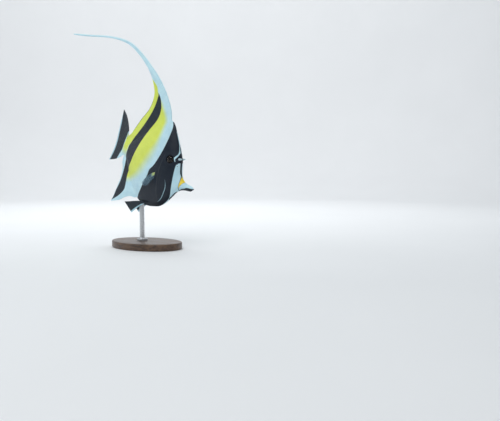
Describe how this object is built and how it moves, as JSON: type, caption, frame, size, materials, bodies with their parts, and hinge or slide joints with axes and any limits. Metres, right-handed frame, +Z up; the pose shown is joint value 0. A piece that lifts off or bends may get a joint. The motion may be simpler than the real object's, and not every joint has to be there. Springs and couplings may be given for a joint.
{
  "type": "fish model on a display stand",
  "caption": "Life-size museum model of a moorish idol fish with a long dorsal filament, nose down, tail turned, on an oval base with a rod.",
  "frame": {"origin": "centre of the underside of the stand's base", "axes": "+X towards the snout, +Y to the fish's left, +Z up"},
  "size_m": [0.2173, 0.076, 0.3205],
  "materials": {
    "head_skin": "painted skin, satin",
    "body_skin": "painted skin, satin",
    "peduncle_skin": "painted skin, satin",
    "dorsal_membrane": "painted membrane, satin",
    "filament_membrane": "painted membrane, satin",
    "anal_membrane": "painted membrane, satin",
    "caudal_membrane": "painted membrane, satin",
    "pectoral_membrane": "painted membrane, satin",
    "pelvic_membrane": "painted membrane, satin",
    "eye_surface": "high gloss",
    "horn_surface": "smooth",
    "stand_base_surface": "satin oiled",
    "stand_rod_surface": "brushed"
  },
  "bodies": {
    "root": {"head": "head_skin", "body": "body_skin", "peduncle": "peduncle_skin", "dorsal_fin": "dorsal_membrane", "dorsal_filament_1": "filament_membrane", "dorsal_filament_2": "filament_membrane", "dorsal_filament_3": "filament_membrane", "anal_fin": "anal_membrane", "caudal_fin": "caudal_membrane", "pectoral_fin_left": "pectoral_membrane", "pectoral_fin_right": "pectoral_membrane", "pelvic_fin_left": "pelvic_membrane", "pelvic_fin_right": "pelvic_membrane", "eye_left": "eye_surface", "eye_right": "eye_surface", "horn_left": "horn_surface", "horn_right": "horn_surface", "stand_base": "stand_base_surface", "stand_rod": "stand_rod_surface"}
  },
  "joints": []
}
